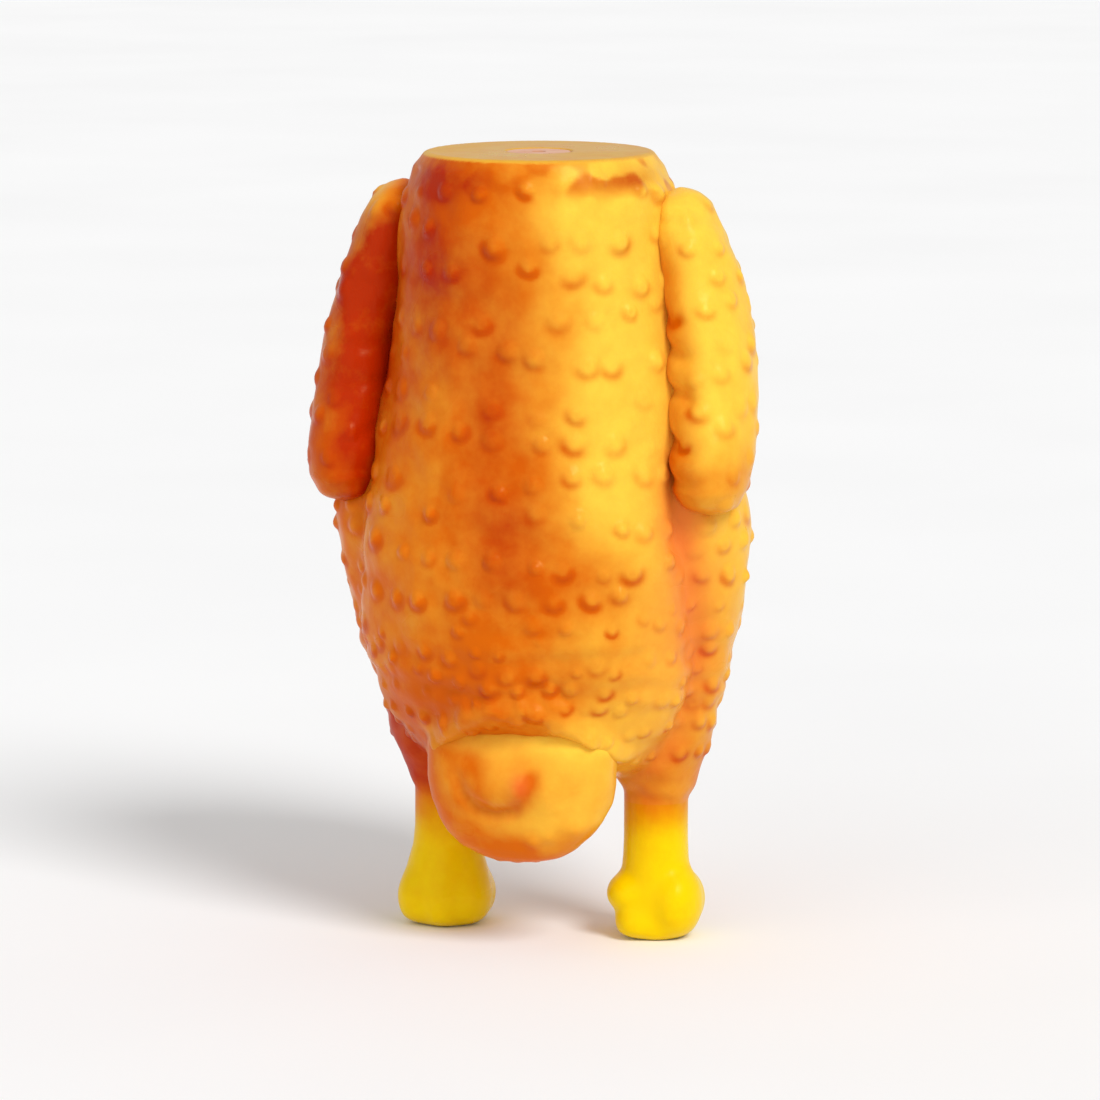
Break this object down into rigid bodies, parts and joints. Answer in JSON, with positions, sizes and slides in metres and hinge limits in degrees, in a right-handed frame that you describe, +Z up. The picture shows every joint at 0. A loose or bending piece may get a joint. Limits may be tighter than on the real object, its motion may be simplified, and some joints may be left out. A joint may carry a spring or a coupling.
{
  "type": "squeaky roast chicken toy",
  "caption": "Headless roast chicken in hollow soft vinyl, standing on its leg bones, with wings at its sides, a tail flap and a reed squeaker in the flat neck face.",
  "frame": {"origin": "middle of the bottom of the bounding box, on the surface that the two leg bones stand on", "axes": "+Z up through the neck face, +Y towards the breast, -Y towards the back and tail, +X towards the toy's side that is on the right when it is seen from behind"},
  "size_m": [0.0938, 0.0856, 0.165],
  "materials": {
    "roasted_skin": "glossy soft vinyl with sprayed brown-red shading",
    "leg_bone": "glossy soft vinyl",
    "squeaker_plastic": "smooth moulded plastic",
    "reed_film": "thin stiff film"
  },
  "bodies": {
    "torso": {"torso_skin": "roasted_skin", "squeaker_housing": "squeaker_plastic", "squeaker_reed_base": "squeaker_plastic", "squeaker_reed_clamp": "squeaker_plastic"},
    "back_panel": {"back_skin": "roasted_skin"},
    "tail": {"tail_skin": "roasted_skin"},
    "reed": {"squeaker_reed": "reed_film"},
    "right_wing": {"right_wing_skin": "roasted_skin"},
    "right_drumstick": {"right_drumstick_skin": "roasted_skin"},
    "right_leg_bone": {"right_leg_bone_skin": "leg_bone"},
    "left_wing": {"left_wing_skin": "roasted_skin"},
    "left_drumstick": {"left_drumstick_skin": "roasted_skin"},
    "left_leg_bone": {"left_leg_bone_skin": "leg_bone"}
  },
  "joints": [
    {"name": "right_wing_lift", "type": "hinge", "parent": "torso", "child": "right_wing", "pos_m": [0.03154, -0.01025, 0.149], "axis": [0, -1, 0], "range_deg": [0, 25], "stiffness_Nm_per_rad": 0.05},
    {"name": "right_hip_bend", "type": "hinge", "parent": "torso", "child": "right_drumstick", "pos_m": [0.023, -0.00275, 0.044], "axis": [1, 0, 0], "range_deg": [-15, 15], "stiffness_Nm_per_rad": 0.6},
    {"name": "right_bone_bend", "type": "hinge", "parent": "right_drumstick", "child": "right_leg_bone", "pos_m": [0.023, -0.00275, 0.03], "axis": [0, 1, 0], "range_deg": [-10, 10], "stiffness_Nm_per_rad": 0.6},
    {"name": "left_wing_lift", "type": "hinge", "parent": "torso", "child": "left_wing", "pos_m": [-0.03154, -0.01025, 0.149], "axis": [0, 1, 0], "range_deg": [0, 25], "stiffness_Nm_per_rad": 0.05},
    {"name": "left_hip_bend", "type": "hinge", "parent": "torso", "child": "left_drumstick", "pos_m": [-0.023, -0.00275, 0.044], "axis": [1, 0, 0], "range_deg": [-15, 15], "stiffness_Nm_per_rad": 0.6},
    {"name": "left_bone_bend", "type": "hinge", "parent": "left_drumstick", "child": "left_leg_bone", "pos_m": [-0.023, -0.00275, 0.03], "axis": [0, 1, 0], "range_deg": [-10, 10], "stiffness_Nm_per_rad": 0.6},
    {"name": "tail_bend", "type": "hinge", "parent": "torso", "child": "tail", "pos_m": [0, -0.02593, 0.0445], "axis": [-1, 0, 0], "range_deg": [-3, 18], "stiffness_Nm_per_rad": 0.04},
    {"name": "back_press", "type": "slide", "parent": "torso", "child": "back_panel", "axis": [0, 1, 0], "range_m": [0, 0.006], "stiffness_N_per_m": 300},
    {"name": "reed_beat", "type": "hinge", "parent": "torso", "child": "reed", "pos_m": [0, -0.01125, 0.15085], "axis": [1, 0, 0], "range_deg": [-2, 2], "stiffness_Nm_per_rad": 0.001}
  ]
}
